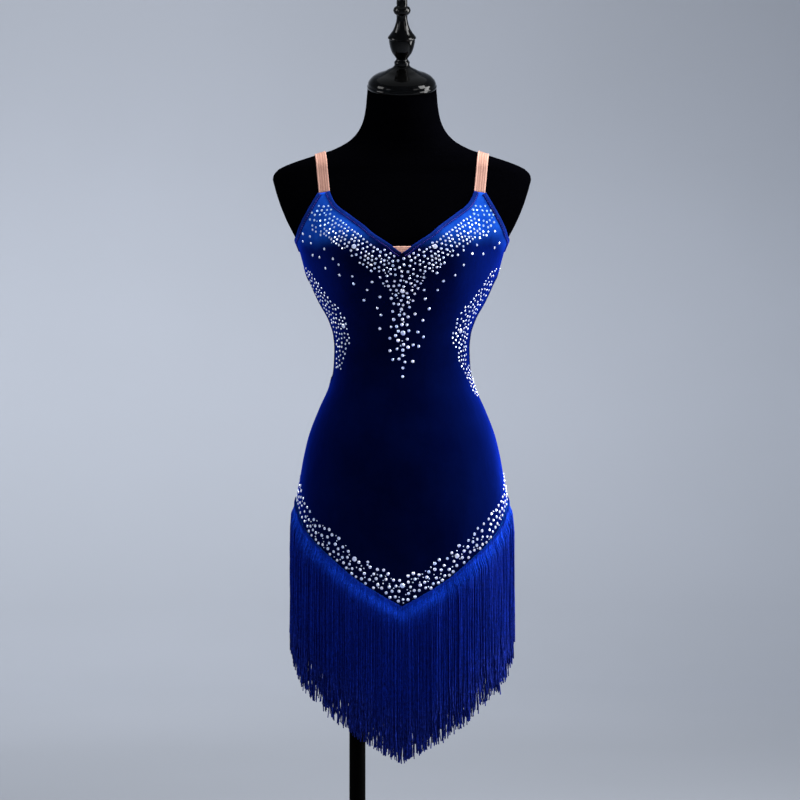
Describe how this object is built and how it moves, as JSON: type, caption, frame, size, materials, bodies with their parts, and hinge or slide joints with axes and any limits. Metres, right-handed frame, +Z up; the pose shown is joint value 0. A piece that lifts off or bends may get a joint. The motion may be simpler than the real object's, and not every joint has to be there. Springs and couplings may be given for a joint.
{
  "type": "salsa dance dress on a limbless dress form",
  "caption": "Short velvet Latin dance dress with a V neck, elastic straps, waist cut-outs, open back and long fringe hem, on a limbless dress form with a pole and round base.",
  "frame": {"origin": "on the floor, at the middle of the round base plate's underside, under the torso's middle", "axes": "+Z up; the dress faces -Y; +X is the wearer's left, which is the viewer's right from in front"},
  "size_m": [0.398, 0.344, 1.5966],
  "materials": {
    "velvet": "royal blue stretch velvet, with glass stones glued on",
    "nude_elastic": "ribbed nude elastic",
    "fringe_yarn": "royal blue chainette yarn, slightly shiny",
    "form_cloth": "matte black knit cover",
    "black_gloss": "black gloss lacquer",
    "stand_metal": "black satin paint"
  },
  "bodies": {
    "root": {"front_panel": "velvet", "back_skirt": "velvet", "back_band": "velvet", "neck_binding_left": "velvet", "neck_binding_right": "velvet", "armhole_binding_left": "velvet", "armhole_binding_right": "velvet", "strap_left": "nude_elastic", "strap_right": "nude_elastic", "neck_elastic": "nude_elastic", "fringe_front": "fringe_yarn", "fringe_back": "fringe_yarn", "form_torso": "form_cloth", "neck_cap": "black_gloss", "finial": "black_gloss", "pole_socket": "stand_metal", "pole": "stand_metal", "base_collar": "stand_metal", "base_plate": "stand_metal"}
  },
  "joints": []
}
